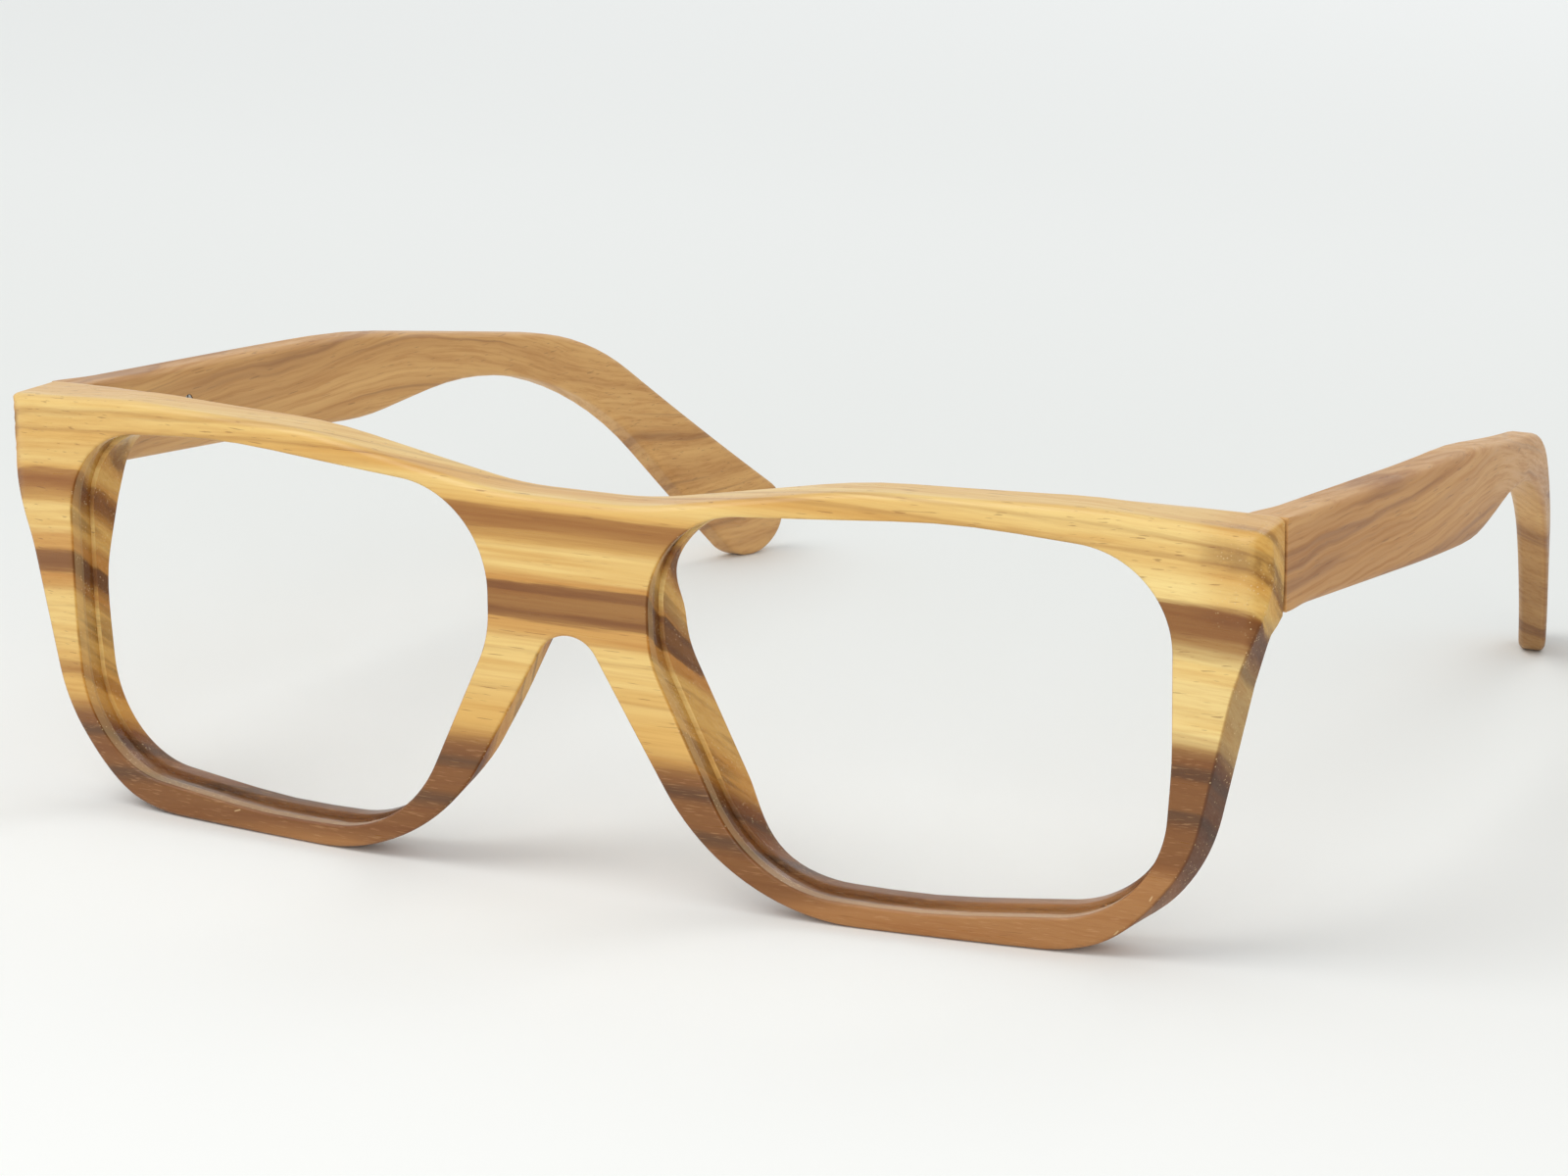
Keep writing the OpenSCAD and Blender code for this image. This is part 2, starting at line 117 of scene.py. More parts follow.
def rounded(pts, step=4.0, longest=1.1):
    """Closed outline of [a, b, radius] corners as points, with long stretches divided."""
    out = []
    n = len(pts)
    for i in range(n):
        p, q, r = (Vector(pts[k % n][:2]) for k in (i - 1, i, i + 1))
        rad = pts[i][2]
        u, w = (p - q).normalized(), (r - q).normalized()
        half = math.acos(max(-1, min(1, u.dot(w)))) / 2
        m = q + (u + w).normalized() * rad / math.sin(half)
        s = q + u * rad / math.tan(half) - m
        turn = (math.pi - 2 * half) * (1 if (-u).cross(w) > 0 else -1)
        k = max(2, math.ceil(abs(turn) / math.radians(step)))
        for j in range(k + 1):
            c, d = math.cos(turn * j / k), math.sin(turn * j / k)
            out.append(m + Vector((s.x * c - s.y * d, s.x * d + s.y * c)))
    dense = []
    for i, p in enumerate(out):
        q = out[(i + 1) % len(out)]
        k = max(1, math.ceil((q - p).length / longest))
        dense += [p.lerp(q, j / k) for j in range(k)]
    return [p for i, p in enumerate(dense) if (p - dense[i - 1]).length > 1e-4]


def normals(pts, closed=True):
    """Outward normals of an anticlockwise outline."""
    n = len(pts)
    out = []
    for i in range(n):
        a = pts[i - 1] if closed or i > 0 else pts[i]
        b = pts[(i + 1) % n] if closed or i < n - 1 else pts[i]
        d = (b - a).normalized()
        out.append(Vector((d.y, -d.x)))
    return out


def inside(p, poly):
    hit = False
    for i, a in enumerate(poly):
        b = poly[i - 1]
        if (a.y > p.y) != (b.y > p.y) and p.x < (b.x - a.x) * (p.y - a.y) / (b.y - a.y) + a.x:
            hit = not hit
    return hit


def fill(outer, holes, spacing, fine=None):
    """Triangles that fill a flat outline, with points of its own between; new points come after the given ones.
    Where fine says so, the points lie closer."""
    pts = [p.copy() for p in outer]
    edges = [(i, (i + 1) % len(outer)) for i in range(len(outer))]
    for h in holes:
        k = len(pts)
        pts += [p.copy() for p in h]
        edges += [(k + i, k + (i + 1) % len(h)) for i in range(len(h))]
    given = len(pts)
    lo = Vector((min(p.x for p in outer), min(p.y for p in outer)))
    hi = Vector((max(p.x for p in outer), max(p.y for p in outer)))
    grids = ((spacing, False), (CLOSER * spacing, True)) if fine else ((spacing, False),)
    for gap, close in grids:
        r = 0
        y = lo.y + gap / 2
        while y < hi.y:
            x = lo.x + gap * (0.5 if r % 2 else 1.0)
            while x < hi.x:
                p = Vector((x, y))
                wanted = bool(fine and fine(p)) == close
                if wanted and inside(p, outer) and not any(inside(p, h) for h in holes):
                    if min((p - q).length for q in pts[:given]) > 0.6 * gap:
                        pts.append(p)
                x += gap
            y += gap * 0.87
            r += 1
    v, _, f, orig, _, _ = delaunay_2d_cdt(pts, edges, [], 0, 1e-5)
    back = [o[0] if o else None for o in orig]
    tris = []
    for t in f:
        p, q, r = (v[i] for i in t)
        c = (p + q + r) / 3
        # slivers between points in one line are left out
        longest = max((q - p).length, (r - q).length, (p - r).length)
        flat = abs((q - p).cross(r - p)) < 1e-4 * longest
        if not flat and inside(c, outer) and not any(inside(c, h) for h in holes):
            tris.append([back[i] for i in t])
    return pts, tris


class Builder:
    """Collects points and faces, with the faces of the second material; equal points are joined at the end."""

    def __init__(self):
        self.v, self.f, self.second = [], [], set()

    def add(self, pts):
        k = len(self.v)
        self.v += pts
        return list(range(k, k + len(pts)))

    def strip(self, a, b, closed):
        n = len(a)
        for i in range(n if closed else n - 1):
            j = (i + 1) % n
            self.f.append((a[i], a[j], b[j], b[i]))

    def flipped(self):
        return [Vector((-p.x, p.y, p.z)) for p in self.v]

    def mirror(self):
        n = len(self.v)
        self.second |= {k + len(self.f) for k in self.second}
        self.v += self.flipped()
        self.f += [tuple(i + n for i in reversed(f)) for f in self.f]

    def object(self, name):
        me = bpy.data.meshes.new(name)
        me.from_pydata([tuple(p) for p in self.v], [], [tuple(f) for f in self.f])
        me.polygons.foreach_set("material_index", [int(k in self.second) for k in range(len(self.f))])
        bm = bmesh.new()
        bm.from_mesh(me)
        bmesh.ops.remove_doubles(bm, verts=bm.verts, dist=1e-6)
        bmesh.ops.dissolve_degenerate(bm, dist=1e-6, edges=bm.edges)
        bmesh.ops.recalc_face_normals(bm, faces=bm.faces)
        bm.to_mesh(me)
        bm.free()
        ob = bpy.data.objects.new(name, me)
        bpy.context.scene.collection.objects.link(ob)
        return ob


def quarter(r, n=4):
    """(inset, depth) of a rounded edge of radius r, from the face to the wall."""
    return [(r * (1 - math.sin(a)), r * (1 - math.cos(a)))
            for a in (math.pi / 2 * k / n for k in range(n + 1))]


def cut(ob, boxes, pins=()):
    """Takes boxes (two corners) and pins along x (start, far x, radius) out of a piece, one by one."""
    for tool in [("box", b) for b in boxes] + [("pin", p) for p in pins]:
        bm = bmesh.new()
        if tool[0] == "box":
            lo, hi = tool[1]
            for v in bmesh.ops.create_cube(bm, size=1)["verts"]:
                v.co = row(*(lo[k] if v.co[k] < 0 else hi[k] for k in range(3)))
        else:
            (x0, y, z), x1, r = tool[1]
            made = bmesh.ops.create_cone(bm, cap_ends=True, segments=32, radius1=1, radius2=1, depth=1)
            for v in made["verts"]:
                v.co = row(x0 if v.co.z < 0 else x1, y + r * v.co.x, z + r * v.co.y)
        bmesh.ops.recalc_face_normals(bm, faces=bm.faces)
        me = bpy.data.meshes.new("cutter")
        bm.to_mesh(me)
        bm.free()
        cutter = bpy.data.objects.new("cutter", me)
        bpy.context.scene.collection.objects.link(cutter)
        mod = ob.modifiers.new("cut", "BOOLEAN")
        mod.operation, mod.solver, mod.object = "DIFFERENCE", "EXACT", cutter
        bake(ob)
        bpy.data.objects.remove(cutter)


def bake(ob):
    """Makes the modifiers' result the mesh."""
    bpy.context.view_layer.update()
    done = bpy.data.meshes.new_from_object(ob.evaluated_get(bpy.context.evaluated_depsgraph_get()))
    ob.modifiers.clear()
    ob.data = done


def finish_mesh(ob):
    """Smooth shading up to the crease angle."""
    ob.data.polygons.foreach_set("use_smooth", [True] * len(ob.data.polygons))
    ob.data.set_sharp_from_angle(angle=CREASE)
    mod = ob.modifiers.new("normals", "WEIGHTED_NORMAL")
    mod.keep_sharp, mod.weight = True, 60


# front

def cyl_v(u, d, turn):
    """Depth along a wall turned by an angle, where it meets the layer d below the face."""
    return WRAP * math.cos(turn) - math.sqrt((WRAP - d) ** 2 - (u - WRAP * math.sin(turn)) ** 2)


END_U0 = END_U - END_ROUND
END_V0 = cyl_v(END_U0, 0, TURN) + END_ROUND


def face_v(u, turn):
    """Depth of the face, which rounds away at the end."""
    v = cyl_v(u, 0, turn)
    if turn > 0.9 * TURN and u > END_U0:
        v = max(v, END_V0 - math.sqrt(max(0, END_ROUND ** 2 - (u - END_U0) ** 2)))
    return v


def place(u, v, z, turn):
    """Turns a point of a half (across, depth, height) to its angle and leans it with the front."""
    x = u * math.cos(turn) - v * math.sin(turn)
    y = u * math.sin(turn) + v * math.cos(turn)
    y2 = y * math.cos(TILT) - z * math.sin(TILT)
    z2 = y * math.sin(TILT) + z * math.cos(TILT) + SEAT_Z
    return row(x, y2, z2)


def soft_min(k, *vals):
    """The least of some values, with the corners between them eased over about k."""
    low = min(vals)
    return low - k * math.log(sum(math.exp((low - v) / k) for v in vals))


def pad(u, z):
    """Extra depth of the pads that are carved beside the nose."""
    out = PAD
    for t, (a, b, c, d) in ((z, PAD_Z), (u, PAD_U)):
        out *= smooth(a, b, t) * smooth(d, c, t)
    return out


def back_v(u, z, turn):
    """Depth of the back, with the nose pads, the deeper wood at the hinge and the flat that the temple meets."""
    v = cyl_v(u, T, turn) + pad(u, z)
    x, y = u * math.cos(turn) - v * math.sin(turn), u * math.sin(turn) + v * math.cos(turn)
    if x < BLOCK_IN - 12 or z < BLOCK_LOW - 10:
        return v
    butt = (BUTT_Y + z * math.sin(TILT)) / math.cos(TILT)
    under = BLOCK_Y + END_DEEP + (0.33 + 0.67 * smooth(62.5, 67, x)) * (z - BLOCK_LOW)
    inner = BLOCK_Y + END_DEEP + 0.42 * (x - BLOCK_IN)
    above = BLOCK_Y + END_DEEP + 4 * (BLOCK_TOP - z)
    block = soft_min(0.2, under, inner, above, butt)
    return v + (min(butt, -soft_min(0.3, -y, -block)) - y) / math.cos(turn)


def to_u(p):
    """A placed point seen square to the right half: across and up."""
    x, y, z = p.x * 1000, p.y * 1000 + MID, p.z * 1000
    return Vector((x * math.cos(TURN) + y * math.sin(TURN), z))


# outline of the right half as [across, height, radius] corners, from the nose round to the brow
side = [[NOSE_W / 2, 0, NOSE_ROUND], [OPEN_X1 + 0.7, 0, 17], [END_U, END_LOW, 18],
        [HALF_W - 0.1, FRONT_H - 1.4, 1.6], [OPEN_MID + 17.8, FRONT_H, 60],
        [OPEN_MID - 5.2, FRONT_H - 0.25, 60], [7.5, FRONT_H - BROW_DIP, 40]]
whole = rounded([[0, PEAK, ARCH_ROUND]] + side + [[-a, b, r] for a, b, r in reversed(side)], 3.0, 0.8)
start = min(range(len(whole)), key=lambda i: (whole[i].y > PEAK, abs(whole[i].x)))
whole = whole[start:] + whole[:start]
chain = [p for p in whole if p.x > 0.15]  # the right half of it
arch_top = PEAK - ARCH_ROUND * (1 / math.sin(math.atan(NOSE_W / 2 / PEAK)) - 1)
chain = [Vector((0, arch_top))] + chain + [Vector((0, FRONT_H - BROW_DIP))]
chain_n = normals(chain, closed=False)
chain_n[0], chain_n[-1] = Vector((0, -1)), Vector((0, 1))


def chain_turn(i):
    """Angle of the wall at a point of the outline: splayed beside the nose, square to the lens elsewhere."""
    p = chain[i]
    if chain_n[i].y < 0.2 and p.x < 46 and p.y < ARCH_Z + 1:
        away = smooth(0, 3.2, p.x)
        return -SPLAY * away * (1 - smooth(20, 44, p.x)) + TURN * smooth(20, 44, p.x)
    return TURN * smooth(0, 7, p.x)


def evened(vals, reach=7):
    """Each value becomes the mean of its neighbours."""
    n = len(vals)
    windows = [vals[max(0, i - reach):i + reach + 1] for i in range(n)]
    return [sum(w) / len(w) for w in windows]


# corners of an opening, in shares of its width and height, with their radii
shares = [[0.2, 0.012, 0.38], [0.53, -0.002, 2.1], [0.978, 0.05, 0.3], [1.0, 0.45, 1.3],
          [1.0, 0.958, 0.26], [0.6, 1.008, 2.1], [-0.004, 0.955, 0.27], [0, 0.58, 0.3]]
loop = rounded([[OPEN_X0 + s * LENS_W, RIM_LOW + h * LENS_H, r * LENS_H] for s, h, r in shares])
loop_n = normals(loop)


# where the points lie closer: the ends, and on the back the pads too

def fine_face(p):
    return p.x > 57 and p.y > 24


def fine_back(p):
    return (p.x > 50 and p.y > 20) or (p.x < 24 and 2.5 < p.y < 36)


def front_mesh():
    b = Builder()
    turns = [chain_turn(i) for i in range(len(chain))]
    # edges: soft along the brow, crisp elsewhere, hardly any where the end is rounded anyway
    at_end = [p.x > END_U0 + 2 for p in chain]
    edge_face = evened([FACE_END if e else FACE_BROW if n.y > 0.5
                        else FACE_SIDE if n.x > 0.6 and p.x > OUTER_X else FACE_EDGE
                        for e, n, p in zip(at_end, chain_n, chain)])
    edge_back = evened([BACK_BLOCK if p.y > BLOCK_LOW - 3 and p.x > BLOCK_IN
                        else BACK_SIDE if n.x > 0.7 and p.x > OUTER_X
                        else BACK_EDGE - BACK_PAD * pad(p.x, p.y) for p, n in zip(chain, chain_n)], 3)
    # below the ends the outer sides lean in towards the face
    lean = [CANT * smooth(0.3, 0.8, n.x) * smooth(35, 25, p.y) if p.x > OUTER_X else 0
            for p, n in zip(chain, chain_n)]

    def outer_ring(inset, depth, from_back):
        pts = []
        for p, n, t, r, k in zip(chain, chain_n, turns, edge_back if from_back else edge_face, lean):
            q = p - n * (inset * r + (0 if from_back else k))
            u = q.x * (math.cos(t) if t < 0 else 1)
            if from_back:
                v = back_v(u, q.y, t)
                # behind the end the side stands upright
                u += (END_U - 0.5 - p.x) * smooth(0.3, 1.6, v - cyl_v(u, T, t)) * smooth(0.5, 0.9, n.x)
                v -= depth * r
            else:
                v = face_v(u, t) + depth * r
            w = place(u, v, q.y, t)
            if p.x == 0:
                w.x = 0
            pts.append(w)
        return pts

    rings = [outer_ring(o, d, False) for o, d in quarter(1.0)]
    rings += [outer_ring(o, d, True) for o, d in reversed(quarter(1.0))]
    ids = [b.add(r) for r in rings]
    for k in range(len(ids) - 1):
        b.strip(ids[k], ids[k + 1], False)
    outer_face, outer_back = (ids[0], rings[0]), (ids[-1], rings[-1])

    def inner_ring(out, depth, origin):
        pts = []
        for p, n in zip(loop, loop_n):
            q = p + n * out
            if origin == "face":
                v = face_v(q.x, TURN) + depth
            elif origin == "back":
                v = back_v(q.x, q.y, TURN) - depth
            else:
                v = cyl_v(q.x, depth, TURN)
            pts.append(place(q.x, v, q.y, TURN))
        return pts

    # from the face through the groove to the back: offset from the outline, depth, where the depth counts from
    d1, d2, dust_and_light_end = LENS_D0, LENS_D0 + LENS_T + GROOVE_PLAY, LENS_D0 + 0.4
    prof = [(o, d, "face") for o, d in quarter(OPEN_FACE, 3)]
    prof += [(0, d1 - 0.2, "mid"), (0.08, d1, "mid")]
    prof += [(GROOVE, d1, "mid"), (GROOVE, dust_and_light_end, "mid"), (GROOVE, d2, "mid")]
    prof += [(-LIP + 0.2, d2, "mid"), (-LIP + 0.06, d2 + 0.06, "mid"), (-LIP, d2 + 0.25, "mid")]
    prof += [(o - LIP, d, "back") for o, d in reversed(quarter(OPEN_BACK))]
    rings = [inner_ring(*p) for p in prof]
    ids = [b.add(r) for r in rings]
    for k in range(len(ids) - 1):
        first = len(b.f)
        b.strip(ids[k], ids[k + 1], True)
        # dust, and painted light that lifts the shaded groove, lie before the lens and in the front corner of
        # the groove
        if prof[k + 1][2] == "mid" and prof[k + 1][1] <= dust_and_light_end:
            b.second |= set(range(first, len(b.f)))
    inner_face, inner_back = (ids[0], rings[0]), (ids[-1], rings[-1])

    for outer, inner, is_back in ((outer_face, inner_face, False), (outer_back, inner_back, True)):
        (o_id, o_pt), (i_id, i_pt) = outer, inner
        outline = [to_u(p) for p in o_pt]
        top, low = o_pt[-1], o_pt[0]
        seam = [top.lerp(low, j / SEAM_STEPS) for j in range(1, SEAM_STEPS)]
        seam_id = b.add(seam)
        outline += [to_u(p) for p in seam]
        pts, tris = fill(outline, [[to_u(p) for p in i_pt]], GRID_FRONT, fine_back if is_back else fine_face)
        known = o_id + seam_id + i_id
        extra = []
        for p in pts[len(known):]:
            z = p.y
            for _ in range(2):
                v = back_v(p.x, z, TURN) if is_back else face_v(p.x, TURN)
                y = p.x * math.sin(TURN) + v * math.cos(TURN)
                z = (p.y - SEAT_Z - y * math.sin(TILT)) / math.cos(TILT)
            extra.append(place(p.x, v, z, TURN))
        known = known + b.add(extra)
        b.f += [tuple(known[i] for i in t) for t in tris]
    b.mirror()
    return b.object("front_wood")


front = front_mesh()
leaf = []
for s in (-1, 1):
    lo, hi = sorted((s * (HINGE_X - LEAF_IN), s * (HINGE_X + LEAF_OUT)))
    leaf.append(((lo, BUTT_Y - LEAF_DEEP, HINGE_Z - LEAF_HALF), (hi, BUTT_Y + CLEAR, HINGE_Z + LEAF_HALF)))
cut(front, leaf)
finish_mesh(front)
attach(front, "front")
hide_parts("front")


# lenses

def lens_mesh(name, s):
    """A lens with a narrow bevel, just inside the groove."""
    b = Builder()
    gap_face, gap_rim, bevel = 0.02, 0.03, 0.04
    d1, d2 = LENS_D0 + gap_face, LENS_D0 + LENS_T

    def ring(out, d):
        flat = [p + n * out for p, n in zip(loop, loop_n)]
        return flat, [place(q.x, cyl_v(q.x, d, TURN), q.y, TURN) for q in flat]

    rim = GROOVE - gap_rim
    prof = [(rim - bevel, d1), (rim, d1 + bevel), (rim, d2 - bevel), (rim - bevel, d2)]
    rings = [ring(*q) for q in prof]
    ids = [b.add(r[1]) for r in rings]
    for k in range(3):
        b.strip(ids[k], ids[k + 1], True)
    for k in (0, -1):
        flat = rings[k][0]
        pts, tris = fill(flat, [], GRID_LENS)
        known = ids[k] + b.add([place(p.x, cyl_v(p.x, prof[k][1], TURN), p.y, TURN)
                                for p in pts[len(flat):]])
        b.f += [tuple(known[i] for i in t) for t in tris]
    if s < 0:
        b.v = b.flipped()
    ob = b.object(name)
    finish_mesh(ob)
    return ob


for side_name, s in (("l", -1), ("r", 1)):
    ob = lens_mesh("lens_glass_" + side_name, s)
    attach(ob, "front")
    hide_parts("lens_" + side_name)


# temples

def along(share):
    return TEMPLE_Y + share * TEMPLE_LEN


EAR_Y = along(0.273)
ROD_X = TEMPLE_X - TEMPLE_T / 2
# pockets of a temple: x from and to, far end in y, z from and to about the hinge
POCKETS = ((HINGE_X - 8, HINGE_X + 2, CASE_Y, -2.8, 3.4),  # room for the knuckles
           (ROD_X - 1.31, ROD_X + 1.31, CASE_Y + 11.01, -1.71, 1.71),  # mortise of the spring case
           (ROD_X + 0.29, ROD_X + 1.3, CASE_Y + 16.01, -1.7, 1.7))  # mortise of its tail
OUTER_EDGE, INNER_EDGE, BUTT_EDGE = 1.0, 0.9, 0.12  # rounding of its edges; the last is a share
SCREW_Y = (12.4, 14.6)  # screws of the case, behind its front
SCREW_HOLES = ((0.6, 0.9), (3.3, 0.52))  # depth and radius for the head and the shank


def temple_corners(cz):
    """Corners of a temple seen from the side, as [y, z, radius], with the middle of its tip at height cz."""
    d = Vector((math.cos(TIP_DROP), -math.sin(TIP_DROP)))
    n = Vector((math.sin(TIP_DROP), math.cos(TIP_DROP)))
    c = Vector((along(1), cz))
    up, low = c + TIP_R * (d + n), c + TIP_R * (d - n)
    top = TEMPLE_Z + TEMPLE_H / 2
    return [[TEMPLE_Y, top - TEMPLE_H, 0.3],
            [along(0.448), TEMPLE_Z - 9, 40], [along(0.734), TEMPLE_Z - 5.5, 45],
            [low.x, low.y, 0.9 * TIP_R], [up.x, up.y, 0.9 * TIP_R], [along(0.778), TEMPLE_Z - 5.7, 34],
            [along(0.445), TEMPLE_Z + 0.8, 120], [TEMPLE_Y, top, 0.3]]


tip_drop_low = min(p.y for p in rounded(temple_corners(TIP_R)))
temple_loop = rounded(temple_corners(TIP_R - tip_drop_low))
temple_n = normals(temple_loop)
REACH = TEMPLE_LEN + TEMPLE_Y - EAR_Y
EAR_IN = REACH ** 2 / (2 * (REACH ** 2 / (2 * EAR_R) - TEMPLE_T + TIP_T))


def temple_x(y, d):
    """Across: d runs from 0 on the outer side to TEMPLE_T on the inner, which is curved a little less."""
    w = max(0, y - EAR_Y)
    outer = EAR_R - math.sqrt(EAR_R ** 2 - w * w)
    inner = EAR_IN - math.sqrt(EAR_IN ** 2 - w * w)
    return TEMPLE_X - d - outer - (inner - outer) * d / TEMPLE_T


def temple_mesh(name, s):
    b = Builder()

    def ring(inset, depth, r, inner):
        pts = []
        for p, n in zip(temple_loop, temple_n):
            # the edges are crisp where the temple meets the front
            k = (BUTT_EDGE + (1 - BUTT_EDGE) * smooth(0.2, 7, p.x - TEMPLE_Y)) * r
            q = p - n * inset * k
            d = TEMPLE_T - depth * k if inner else depth * k
            pts.append(row(temple_x(q.x, d), q.x, q.y))
        return pts

    q = quarter(1.0)
    rings = [ring(o, d, OUTER_EDGE, False) for o, d in q]
    rings += [ring(o, d, INNER_EDGE, True) for o, d in reversed(q)]
    ids = [b.add(r) for r in rings]
    for k in range(len(ids) - 1):
        b.strip(ids[k], ids[k + 1], True)
    for k, d in ((0, 0.0), (-1, TEMPLE_T)):
        flat = [Vector((p.y * 1000 + MID, p.z * 1000)) for p in rings[k]]
        pts, tris = fill(flat, [], GRID_TEMPLE)
        known = ids[k] + b.add([row(temple_x(p.x, d), p.x, p.y) for p in pts[len(flat):]])
        b.f += [tuple(known[i] for i in t) for t in tris]
    if s < 0:
        b.v = b.flipped()
    ob = b.object(name)
    boxes = []
    for x0, x1, y1, z0, z1 in POCKETS:
        xs = sorted((s * x0, s * x1))
        boxes.append(((xs[0], TEMPLE_Y - 1, HINGE_Z + z0), (xs[1], y1, HINGE_Z + z1)))
    inner = TEMPLE_X - TEMPLE_T
    pins = [((s * (inner - 1), CASE_Y + y, HINGE_Z), s * (inner + d), r)
            for y in SCREW_Y for d, r in SCREW_HOLES]
    cut(ob, boxes, pins)
    finish_mesh(ob)
    return ob


for side_name, s in (("l", -1), ("r", 1)):
    ob = temple_mesh("temple_wood_" + side_name, s)
    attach(ob, "temple_" + side_name)
    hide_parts("temple_" + side_name)


# coil springs: the case holds one end, the collar on the rod the other; in the real glasses they shorten as the
# temple flexes, here each is a fixed copy of the CAD spring

for side_name in ("l", "r"):
    cad = nodes["spring_" + side_name]
    ob = bpy.data.objects.new("coil_" + side_name, cad.data.copy())
    bpy.context.scene.collection.objects.link(ob)
    ob.matrix_world = cad.matrix_world
    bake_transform(ob)
    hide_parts("spring_" + side_name)


# materials

def srgb(r, g, b):
    def lin(c):
        c /= 255
        return c / 12.92 if c <= 0.04045 else ((c + 0.055) / 1.055) ** 2.4
    return (lin(r), lin(g), lin(b), 1)


PALE, HONEY, CREAM, GOLD = srgb(231, 197, 123), srgb(219, 174, 96), srgb(244, 219, 147), srgb(206, 156, 84)
AMBER, BROWN = srgb(154, 101, 45), srgb(130, 83, 39)
DARK, RED = srgb(98, 65, 37), srgb(168, 117, 66)
DUST, SMOKE = srgb(224, 194, 142), srgb(106, 68, 36)
# the plank of the front: its thickness, and what lies at which height in it
PLANK = 52.0
WOOD = ((0, HONEY), (16, HONEY), (21, PALE), (23.5, PALE), (25.5, GOLD), (30, GOLD), (31.2, PALE), (33, PALE),
        (34, HONEY), (37, HONEY), (38.5, PALE), (40.5, HONEY), (43, PALE), (47, HONEY))
PALER = ((22, 0), (24, 1), (38, 0.8), (40, 0.3))
UPPER_BAND = ((33.2, 0), (34.3, 0.55), (35.2, 0.9), (36, 1), (36.6, 0.85), (37.2, 0))
UPPER_RIGHT = ((31.2, 0), (33.4, 0.6), (34.4, 1), (36.6, 1), (37.1, 0))
DOUBLE_BAND = ((26, 0), (26.5, 0.8), (27, 1), (27.6, 0.72), (28.7, 0.7), (29.2, 1), (29.6, 0.9), (29.9, 0))
SINGLE_BAND = ((25.9, 0), (26.7, 0.9), (27.4, 1), (28.2, 0.95), (28.9, 0))
THIN_LINES = ((18.8, 0), (19.1, 0.35), (19.5, 0), (22.6, 0), (22.9, 0.4), (23.2, 0), (24.3, 0), (24.6, 0.3),
              (24.9, 0), (33, 0), (33.2, 0.3), (33.5, 0), (40.5, 0), (41, 0.7), (41.5, 0), (42.3, 0),
              (42.7, 0.55), (43.2, 0))
FORERUNNER = ((15.2, 0), (16, 0.6), (16.8, 0.5), (17.4, 0))
SMOKE_LINES = ((33.8, 0), (34.8, 0.7), (36, 0.9), (37.2, 0), (39.6, 0), (41.2, 0.9), (42.4, 0.9), (43.8, 0),
               (44.6, 0), (45.5, 0.7), (46.6, 0))
# its dark heart, counted from HEART_LOW
HEART_LOW, HEART_SPAN = -6.0, 24.0
HEART = ((0, RED), (6.5, RED), (9, BROWN), (11.5, BROWN), (13.2, DARK), (14.2, BROWN), (16.2, BROWN),
         (17.2, DARK), (18.4, BROWN), (21, AMBER))
# scratches on the face: x, z, angle, half length; and their half width
SCRATCHES = ((57.3, 3.4, 55, 0.75), (55.8, 2.5, 48, 0.4), (59.1, 6.2, 62, 0.35), (-40.2, 2.0, 20, 0.5))
SCRATCH_W = 0.10
TEMPLE_TONES = ((0.26, srgb(220, 175, 112)), (0.44, srgb(210, 163, 102)), (0.56, srgb(198, 150, 92)),
                (0.65, srgb(168, 122, 76)), (0.72, srgb(190, 142, 88)), (0.85, srgb(209, 162, 101)))
GRAIN_DEPTH, BRUSH_DEPTH = 0.0001, 0.00004  # relief of the bump, metres


